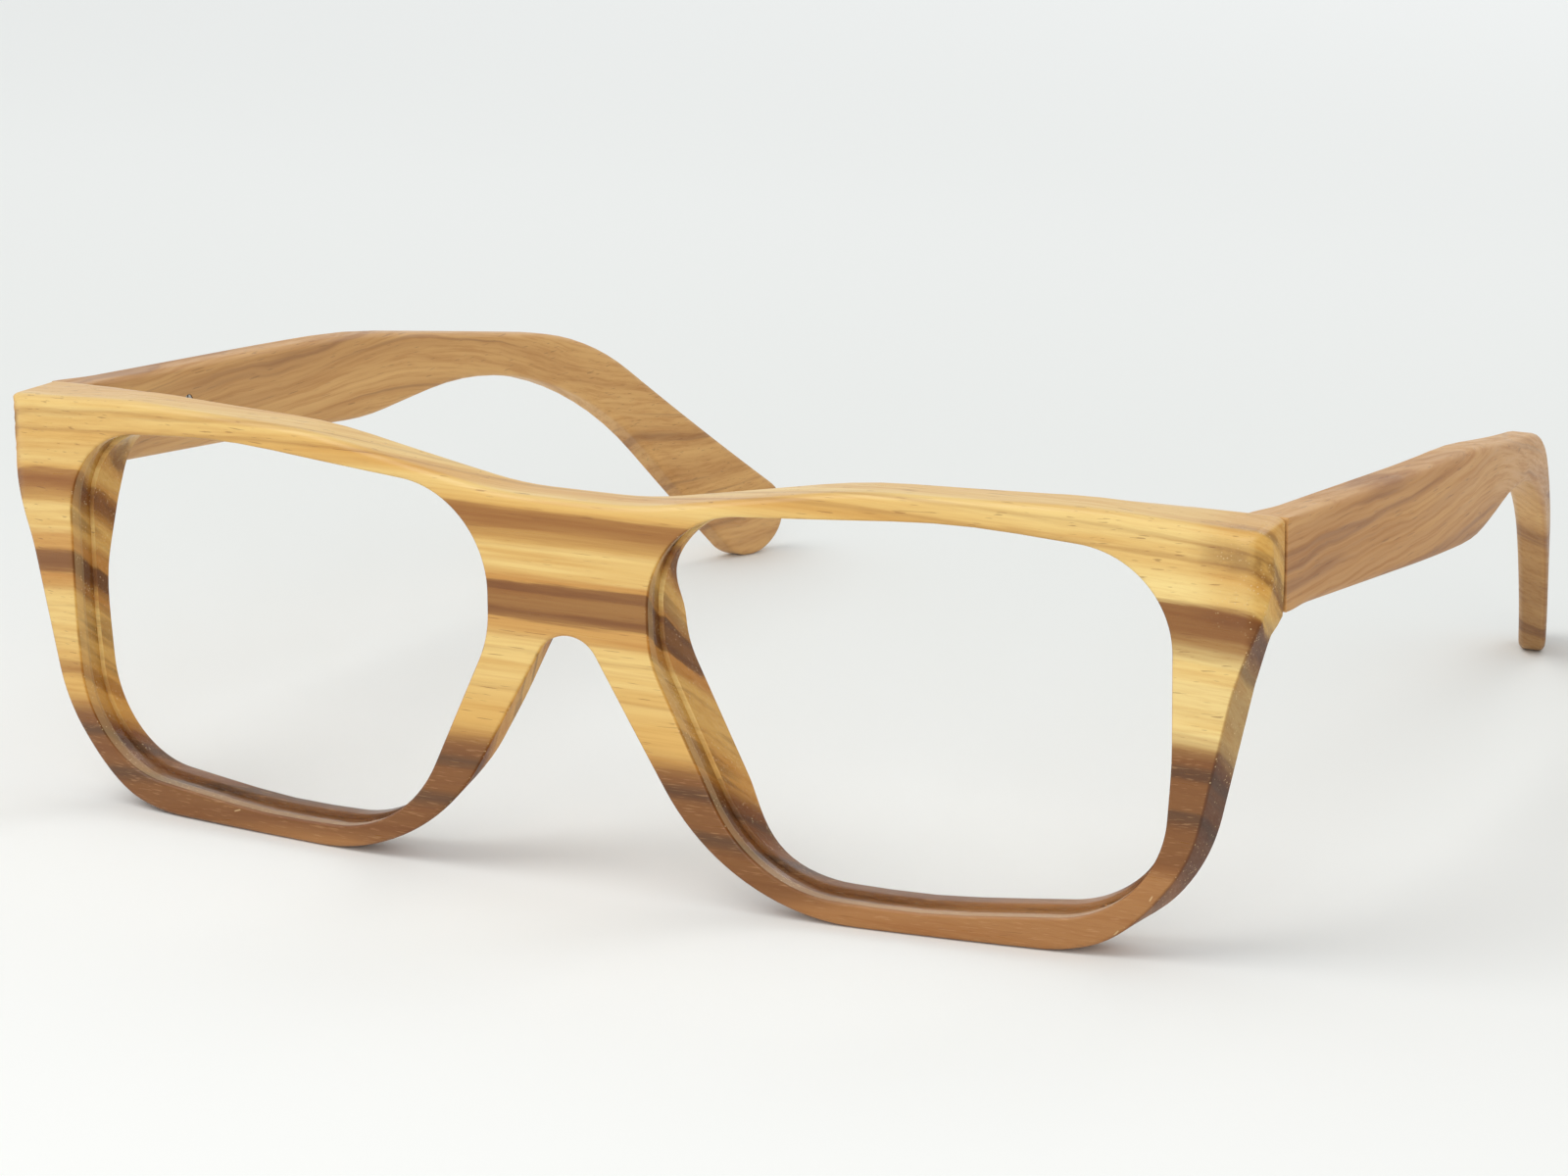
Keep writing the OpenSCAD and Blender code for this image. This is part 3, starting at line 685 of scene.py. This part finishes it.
class Nodes:
    """A material and short ways to make its nodes."""

    def __init__(self, name):
        self.mat = bpy.data.materials.new(name)
        self.mat.use_nodes = True
        self.t = self.mat.node_tree
        self.t.nodes.clear()
        self.out = self.t.nodes.new("ShaderNodeOutputMaterial")
        self.bsdf = self.t.nodes.new("ShaderNodeBsdfPrincipled")
        self.t.links.new(self.bsdf.outputs[0], self.out.inputs[0])

    def put(self, sock, val):
        if hasattr(val, "is_output"):
            self.t.links.new(val, sock)
        else:
            sock.default_value = val

    def math(self, op, a, b=0.0, c=None, clamp=False):
        n = self.t.nodes.new("ShaderNodeMath")
        n.operation, n.use_clamp = op, clamp
        self.put(n.inputs[0], a)
        self.put(n.inputs[1], b)
        if c is not None:
            self.put(n.inputs[2], c)
        return n.outputs[0]

    def coords(self):
        n = self.t.nodes.new("ShaderNodeTexCoord")
        s = self.t.nodes.new("ShaderNodeSeparateXYZ")
        self.t.links.new(n.outputs["Object"], s.inputs[0])
        return [self.math("MULTIPLY", s.outputs[k], 1000) for k in range(3)]

    def vec(self, x, y, z):
        n = self.t.nodes.new("ShaderNodeCombineXYZ")
        for k, v in enumerate((x, y, z)):
            self.put(n.inputs[k], v)
        return n.outputs[0]

    def scaled(self, *pairs):
        return self.vec(*(self.math("MULTIPLY", v, k) for v, k in pairs))

    def times(self, *vals):
        out = vals[0]
        for v in vals[1:]:
            out = self.math("MULTIPLY", out, v)
        return out

    def noise(self, vec, scale=1.0, detail=3.0, rough=0.55):
        n = self.t.nodes.new("ShaderNodeTexNoise")
        self.put(n.inputs["Vector"], vec)
        n.inputs["Scale"].default_value = scale
        n.inputs["Detail"].default_value = detail
        n.inputs["Roughness"].default_value = rough
        return n.outputs["Fac"]

    def streaks(self, *pairs, detail=3.0, rough=0.55):
        """Noise drawn out along the axes: pairs are (coordinate, scale)."""
        return self.noise(self.scaled(*pairs), 1.0, detail, rough)

    def cells(self, vec, scale):
        n = self.t.nodes.new("ShaderNodeTexVoronoi")
        self.put(n.inputs["Vector"], vec)
        n.inputs["Scale"].default_value = scale
        return n.outputs["Distance"]

    def ramp(self, fac, stops, interp="EASE"):
        n = self.t.nodes.new("ShaderNodeValToRGB")
        n.color_ramp.interpolation = interp
        self.put(n.inputs[0], fac)
        e = n.color_ramp.elements
        while len(e) < len(stops):
            e.new(1.0)
        for k, (p, c) in enumerate(stops):
            e[k].position = p
            e[k].color = c if isinstance(c, tuple) else (c, c, c, 1)
        return n.outputs[0]

    def bands(self, val, stops, span=PLANK):
        """Strength or colour along the layers: stops are (millimetres, value), span the ramp's length."""
        return self.ramp(self.math("DIVIDE", val, span), [(p / span, v) for p, v in stops])

    def range(self, val, a, b, lo=0.0, hi=1.0):
        n = self.t.nodes.new("ShaderNodeMapRange")
        n.interpolation_type = "SMOOTHSTEP"
        self.put(n.inputs[0], val)
        for k, v in enumerate((a, b, lo, hi)):
            n.inputs[k + 1].default_value = v
        return n.outputs[0]

    def mix(self, fac, a, b, mode="MIX"):
        n = self.t.nodes.new("ShaderNodeMix")
        n.data_type, n.blend_type = "RGBA", mode
        self.put(n.inputs[0], fac)
        self.put(n.inputs[6], a)
        self.put(n.inputs[7], b)
        return n.outputs[2]

    def tinted(self, fac, col, tint):
        """A colour multiplied by a tint, as far as fac says."""
        return self.mix(fac, col, self.mix(1.0, col, tint, "MULTIPLY"))

    def normal_part(self, k):
        g = self.t.nodes.new("ShaderNodeNewGeometry")
        tr = self.t.nodes.new("ShaderNodeVectorTransform")
        tr.vector_type, tr.convert_from, tr.convert_to = "NORMAL", "WORLD", "OBJECT"
        self.t.links.new(g.outputs["Normal"], tr.inputs[0])
        s = self.t.nodes.new("ShaderNodeSeparateXYZ")
        self.t.links.new(tr.outputs[0], s.inputs[0])
        return s.outputs[k]

    def bump(self, height, strength, dist):
        n = self.t.nodes.new("ShaderNodeBump")
        n.inputs["Strength"].default_value = strength
        n.inputs["Distance"].default_value = dist
        self.put(n.inputs["Height"], height)
        self.put(self.bsdf.inputs["Normal"], n.outputs[0])


def striped_wood(name, dust_and_painted_light=False):
    m = Nodes(name)
    x, y, z = m.coords()
    depth = m.math("ADD", y, MID)
    # the layers of the plank slope down towards the back, bow a little and waver
    wav = m.math("SUBTRACT", m.streaks((x, 0.02), (y, 0.04), (z, 0.06), detail=2.0), 0.5)
    layer = m.math("MULTIPLY_ADD", depth, 0.72, m.math("MULTIPLY_ADD", m.math("MULTIPLY", x, x), -0.0002, z))
    layer = m.math("MULTIPLY_ADD", wav, 0.8, layer)
    grain = m.math("SUBTRACT", m.streaks((x, 0.05), (y, 0.3), (layer, 1.2), detail=4.0, rough=0.6), 0.5)
    edge = m.math("MULTIPLY_ADD", grain, 1.7, layer)
    # end grain: where the wood is cut across, and round the right end
    nx = m.normal_part(0)
    sideways = m.math("ABSOLUTE", nx)
    end = m.range(sideways, 0.30, 0.78)
    flat = m.math("SUBTRACT", 1.0, end)
    bend = m.times(m.range(x, 61.5, 66.5, 0, 0.75), m.range(z, 31.5, 34.5))
    cross = m.math("MAXIMUM", end, bend)
    base = m.bands(edge, WOOD)
    # paler at the right end, where the heart climbs
    base = m.mix(m.times(m.range(x, 28, 60, 0, 0.85), m.bands(edge, PALER)), base, CREAM)
    right = m.range(x, 36, 56)
    band_a = m.math("MAXIMUM", m.bands(edge, UPPER_BAND), m.times(right, m.bands(edge, UPPER_RIGHT)))
    # the lower band is single at the left end, double in the middle, and fades to the right
    left = m.range(x, -48, -28, 1, 0)
    double = m.times(m.bands(edge, DOUBLE_BAND), m.math("SUBTRACT", 1.0, left))
    band_b = m.math("ADD", m.times(m.bands(edge, SINGLE_BAND), left), double)
    band_b = m.times(band_b, m.range(x, 22, 48, 1, 0.06))
    c = m.mix(m.times(band_a, 0.97), base, AMBER)
    c = m.mix(m.times(band_a, right, 0.6), c, BROWN)
    c = m.mix(m.times(m.bands(edge, THIN_LINES), 0.6), c, AMBER)
    c = m.mix(band_b, c, BROWN)
    # the dark heart at the bottom climbs towards the right end; a paler forerunner at the left
    c = m.mix(m.times(m.bands(edge, FORERUNNER), m.range(x, -46, -30, 1, 0)), c, AMBER)
    low = m.math("SUBTRACT", m.math("ADD", edge, m.range(x, -52, -34, 1.3, 0)), m.range(x, 18, 62, 0, 9.8))
    heart = m.range(low, 12.4, 15.8, 1, 0)
    c = m.mix(heart, c, m.bands(m.math("SUBTRACT", low, HEART_LOW), HEART, HEART_SPAN))
    # fine lengthwise streaks, broad soft shades
    fine = m.streaks((x, 0.07), (y, 1.1), (layer, 3.4), detail=5.0, rough=0.65)
    c = m.tinted(m.range(fine, 0.40, 0.74, 0.0, 0.26), c, srgb(206, 160, 104))
    broad = m.streaks((x, 0.03), (y, 0.2), (layer, 0.8), detail=2.0)
    c = m.tinted(m.range(broad, 0.46, 0.72, 0.0, 0.4), c, srgb(226, 194, 138))
    # short dark pores in the pale wood, pale dashes in the dark
    pore = m.range(m.streaks((x, 0.30), (y, 3.2), (z, 6.4), detail=1.0, rough=0.4), 0.69, 0.75, 0, 1)
    c = m.mix(m.times(pore, flat, 0.5), c, BROWN)
    apart = m.math("ADD", z, 31)  # elsewhere in the noise than the pores
    dash = m.range(m.streaks((x, 0.42), (y, 3.0), (apart, 7.0), detail=2.0, rough=0.5), 0.58, 0.70)
    c = m.mix(m.times(dash, heart, flat, 0.32), c, srgb(196, 150, 102))
    # cut across, the layers show darker, with smoky stripes
    blur = m.range(m.streaks((x, 0.5), (y, 0.5), (layer, 0.9), detail=3.0), 0.30, 0.58, 0.35, 1)
    stripes = m.times(m.bands(edge, SMOKE_LINES), blur)
    drift = m.range(m.streaks((layer, 0.5), (x, 0.02), (y, 0.06), detail=2.0), 0.50, 0.64, 0, 0.6)
    smoky = m.math("MAXIMUM", stripes, m.math("MAXIMUM", m.times(drift, m.range(z, 38, 30)), band_b))
    c = m.tinted(m.times(cross, 0.8), c, (0.84, 0.66, 0.44, 1))
    c = m.mix(m.times(cross, smoky, 0.75), c, SMOKE)
    # painted shade: the outer sides below the ends, which face away from the lamps, are darker and greyer
    outward = m.times(m.math("SIGN", x), nx)
    outer = m.range(m.math("ABSOLUTE", x), 40, 48)
    painted_shade = m.times(m.range(outward, 0.35, 0.8), m.range(z, 30, 34, 1, 0), outer)
    c = m.tinted(m.times(painted_shade, 0.85), c, (0.58, 0.57, 0.64, 1))
    # dust in the pores
    near = 1.0 if dust_and_painted_light else m.math("MAXIMUM", bend, m.range(sideways, 0.2, 0.6))
    patchy = m.range(m.streaks((x, 0.7), (y, 0.7), (z, 0.7), detail=2.0), 0.42, 0.62, 0.1, 1)
    dots = m.times(m.range(m.cells(m.vec(x, y, z), 2.6), 0.14, 0.26, 1, 0), near, patchy)
    # in the groove a pale veil all over: partly dust, partly painted light that lifts the shade of the recess
    if dust_and_painted_light:
        c = m.mix(0.25, c, DUST)
    c = m.mix(m.times(dots, 0.7), c, DUST)
    # a few small scratches low on the rims
    marks = 0.0
    for cx, cz, turn, reach in SCRATCHES:
        ca, sa = math.cos(math.radians(turn)), math.sin(math.radians(turn))
        dx, dz = m.math("SUBTRACT", x, cx), m.math("SUBTRACT", z, cz)
        lengthwise = m.math("ABSOLUTE", m.math("ADD", m.times(dx, ca), m.times(dz, sa)))
        across = m.math("ABSOLUTE", m.math("SUBTRACT", m.times(dz, ca), m.times(dx, sa)))
        one = m.times(m.range(lengthwise, reach * 0.6, reach, 1, 0),
                      m.range(across, SCRATCH_W * 0.3, SCRATCH_W, 1, 0))
        marks = m.math("MAXIMUM", marks, one)
    marks = m.times(marks, m.range(m.normal_part(1), -0.8, -0.6, 1, 0))
    c = m.mix(m.times(marks, 0.6), c, DUST)
    m.put(m.bsdf.inputs["Base Color"], c)
    rough = m.math("ADD", m.range(fine, 0.3, 0.7, 0.27, 0.38), m.times(end, 0.2))
    m.put(m.bsdf.inputs["Roughness"], rough)
    m.bsdf.inputs["IOR"].default_value = 1.46
    # end grain has less sheen, except under the painted shade of the outer sides
    dull = m.math("SUBTRACT", end, painted_shade, clamp=True)
    m.put(m.bsdf.inputs["Specular IOR Level"], m.math("MULTIPLY_ADD", dull, -0.38, 0.5))
    hollow = m.math("ADD", m.times(pore, flat), m.math("ADD", m.times(dots, 0.5), marks))
    m.bump(m.math("SUBTRACT", m.times(fine, 0.4), hollow), 0.22, GRAIN_DEPTH)
    return m.mat


def temple_wood():
    m = Nodes("temple_wood")
    x, y, z = m.coords()
    # grain runs along the temple, wavers, and leans with the ear end
    wav = m.math("SUBTRACT", m.streaks((x, 0.03), (y, 0.02), (z, 0.05), detail=2.0), 0.5)
    sag = m.range(y, 0, 62, 0, 15)
    lift = m.math("MULTIPLY_ADD", wav, 4.5, m.math("ADD", z, sag))
    lift = m.math("MULTIPLY_ADD", m.math("ABSOLUTE", x), 0.35, lift)
    ripple = m.math("SUBTRACT", m.streaks((x, 0.1), (y, 0.11), (lift, 0.25), detail=2.0), 0.5)
    lift = m.math("ADD", ripple, lift)
    big = m.streaks((x, 0.02), (y, 0.012), (lift, 0.30), detail=3.0, rough=0.55)
    fine = m.streaks((x, 0.9), (y, 0.05), (lift, 2.4), detail=5.0, rough=0.62)
    c = m.ramp(big, TEMPLE_TONES)
    # painted shade: darker towards the tip of the right temple, which is turned away from the light
    right = m.range(x, -1, 1)
    c = m.tinted(m.times(m.range(y, 30, 66), right, 0.8), c, (0.46, 0.43, 0.44, 1))
    c = m.tinted(m.range(fine, 0.40, 0.72, 0, 0.36), c, srgb(196, 154, 112))
    # a few darker, greyer streaks
    vein = m.streaks((x, 0.05), (y, 0.014), (m.math("ADD", lift, 17), 0.75), detail=2.0)
    c = m.mix(m.range(vein, 0.60, 0.70, 0, 0.45), c, srgb(136, 95, 66))
    pore = m.range(m.streaks((x, 3.0), (y, 0.28), (z, 5.6), detail=1.0, rough=0.4), 0.67, 0.74, 0, 1)
    c = m.mix(m.times(pore, 0.32), c, srgb(104, 72, 48))
    end = m.range(m.math("ABSOLUTE", m.normal_part(1)), 0.6, 0.95, 0, 1)
    c = m.tinted(m.times(end, 0.6), c, (0.62, 0.56, 0.5, 1))
    # painted shade: the outer side of the right temple is warmer and darker, to take back the pale reflection it
    # catches at a grazing angle
    c = m.tinted(m.times(m.range(m.normal_part(0), 0.4, 0.8), right), c, (0.92, 0.84, 0.72, 1))
    m.put(m.bsdf.inputs["Base Color"], c)
    m.put(m.bsdf.inputs["Roughness"], m.range(fine, 0.3, 0.7, 0.36, 0.48))
    m.bsdf.inputs["IOR"].default_value = 1.38
    m.bsdf.inputs["Specular IOR Level"].default_value = 0.35
    m.bump(m.math("SUBTRACT", m.times(fine, 0.5), pore), 0.22, GRAIN_DEPTH)
    return m.mat


def hinge_metal():
    m = Nodes("hinge_metal")
    x, y, z = m.coords()
    brush = m.streaks((x, 9.0), (y, 0.9), (z, 9.0), detail=3.0)
    stain = m.noise(m.vec(x, y, z), 0.35, 3.0)
    c = m.ramp(stain, [(0.3, srgb(160, 157, 152)), (0.7, srgb(192, 190, 186))], "LINEAR")
    m.put(m.bsdf.inputs["Base Color"], c)
    m.bsdf.inputs["Metallic"].default_value = 1.0
    m.put(m.bsdf.inputs["Roughness"], m.range(brush, 0.3, 0.7, 0.26, 0.42))
    m.bump(brush, 0.12, BRUSH_DEPTH)
    return m.mat


def clear_lens():
    m = Nodes("clear_lens")
    x, y, z = m.coords()
    haze = m.noise(m.vec(x, y, z), 0.12, 3.0)
    c = m.ramp(haze, ((0.3, (0.994, 0.994, 0.99, 1)), (0.7, (1, 1, 1, 1))), "LINEAR")
    m.put(m.bsdf.inputs["Base Color"], c)
    m.put(m.bsdf.inputs["Roughness"], m.range(haze, 0.4, 0.8, 0.0, 0.02))
    m.bsdf.inputs["Transmission Weight"].default_value = 1.0
    m.bsdf.inputs["IOR"].default_value = 1.015
    m.bsdf.inputs["Coat Weight"].default_value = 0.6
    m.bsdf.inputs["Coat IOR"].default_value = 1.25
    return m.mat


def dress(ob, *mats):
    """Gives an object its materials and keeps which face has which."""
    at = [p.material_index for p in ob.data.polygons]
    ob.data.materials.clear()
    for mat in mats:
        ob.data.materials.append(mat)
    if len(mats) > 1:
        ob.data.polygons.foreach_set("material_index", at)


dress(front, striped_wood("striped_wood"), striped_wood("groove_wood", True))
metal = hinge_metal()
for kind, mat in (("temple_wood_", temple_wood()), ("lens_glass_", clear_lens()), ("coil_", metal)):
    for side_name in ("l", "r"):
        dress(bpy.data.objects[kind + side_name], mat)
for name, ob in nodes.items():
    if name not in ("front", "lens_l", "lens_r", "temple_l", "temple_r", "spring_l", "spring_r"):
        dress(ob, metal)


# floor, light and camera

# painted light and shade on the floor from near to far, along FLOOR_TONES_LEN from FLOOR_NEAR: brighter in front
# and far behind, greyer around the object
FLOOR_NEAR, FLOOR_TONES_LEN = -400, 1200
FLOOR_PAINTED_LIGHT = ((0.0, (0.965, 0.97, 0.945, 1)), (0.2, (0.94, 0.945, 0.925, 1)), (0.4, (0.83, 0.845, 0.825, 1)),
               (0.6, (0.87, 0.885, 0.87, 1)), (1.0, (0.97, 0.985, 0.975, 1)))
FLOOR_DROP = 0.00002  # metres below the feet
SKY, SKY_LIGHT, SKY_SEEN = (0.97, 0.985, 1.0, 1), 0.66, 0.92  # colour, strength as light and where it is seen


def floor_material():
    m = Nodes("pale_floor")
    y = m.coords()[1]
    tone = m.math("DIVIDE", m.math("SUBTRACT", y, FLOOR_NEAR), FLOOR_TONES_LEN)
    m.put(m.bsdf.inputs["Base Color"], m.ramp(tone, FLOOR_PAINTED_LIGHT))
    m.bsdf.inputs["Roughness"].default_value = 0.9
    m.bsdf.inputs["Specular IOR Level"].default_value = 0.1
    return m.mat


me = bpy.data.meshes.new("floor")
me.from_pydata([(-4, -3, 0), (4, -3, 0), (4, 6, 0), (-4, 6, 0)], [], [(0, 1, 2, 3)])
floor = bpy.data.objects.new("floor", me)
bpy.context.scene.collection.objects.link(floor)
dress(floor, floor_material())
floor.location.z = -FLOOR_DROP

world = bpy.data.worlds.new("world")
bpy.context.scene.world = world
world.use_nodes = True
sky = world.node_tree
background = sky.nodes["Background"]
background.inputs[0].default_value = SKY
seen = sky.nodes.new("ShaderNodeLightPath")
total = seen.outputs["Is Camera Ray"]
for ray in ("Is Glossy Ray", "Is Transmission Ray"):
    add = sky.nodes.new("ShaderNodeMath")
    sky.links.new(total, add.inputs[0])
    sky.links.new(seen.outputs[ray], add.inputs[1])
    total = add.outputs[0]
level = sky.nodes.new("ShaderNodeMapRange")
sky.links.new(total, level.inputs[0])
level.inputs[3].default_value, level.inputs[4].default_value = SKY_LIGHT, SKY_SEEN
sky.links.new(level.outputs[0], background.inputs[1])


def lamp(name, at, aim, size, power, colour):
    """A round soft lamp at a place, turned to a point."""
    d = bpy.data.lights.new(name, "AREA")
    d.shape, d.size, d.energy, d.color = "DISK", size, power, colour
    ob = bpy.data.objects.new(name, d)
    bpy.context.scene.collection.objects.link(ob)
    ob.location = at
    ob.rotation_euler = (Vector(aim) - Vector(at)).to_track_quat("-Z", "Y").to_euler()


lamp("key", (-0.55, -0.55, 1.15), (0, -0.03, 0.02), 1.0, 6.0, (1.0, 0.985, 0.955))
lamp("front", (0.55, -1.25, 0.5), (0, -0.05, 0.02), 1.0, 5.0, (1.0, 0.99, 0.97))
lamp("back", (0.2, 0.95, 0.8), (0, 0, 0.02), 0.7, 1.6, (1.0, 1.0, 1.0))

# camera fitted to the photograph: angles, millimetres, focal length in pixels of a frame FRAME_PX wide
AZ, EL, ROLL, DIST = 0.482372, 0.241612, -0.0019306, 476.831
AIM = (23.2167, 0.0, 32.716)
FOCAL_PX, FRAME_PX, SENSOR = 5200, 1600, 36.0
back = Vector((math.sin(AZ) * math.cos(EL), -math.cos(AZ) * math.cos(EL), math.sin(EL)))
right = Vector((math.cos(AZ), math.sin(AZ), 0))
up = back.cross(right)
cos_r, sin_r = math.cos(ROLL), math.sin(ROLL)
right, up = right * cos_r + up * sin_r, up * cos_r - right * sin_r
cam = bpy.data.cameras.new("camera")
cam.sensor_fit, cam.sensor_width, cam.lens = "HORIZONTAL", SENSOR, SENSOR * FOCAL_PX / FRAME_PX
cam.clip_start, cam.clip_end = 0.01, 20
camera = bpy.data.objects.new("camera", cam)
bpy.context.scene.collection.objects.link(camera)
pos = row(*(Vector(AIM) + back * DIST))
camera.matrix_world = Matrix([[right[k], up[k], back[k], pos[k]] for k in range(3)] + [[0, 0, 0, 1]])
bpy.context.scene.camera = camera
bpy.context.scene.view_settings.view_transform = "Standard"
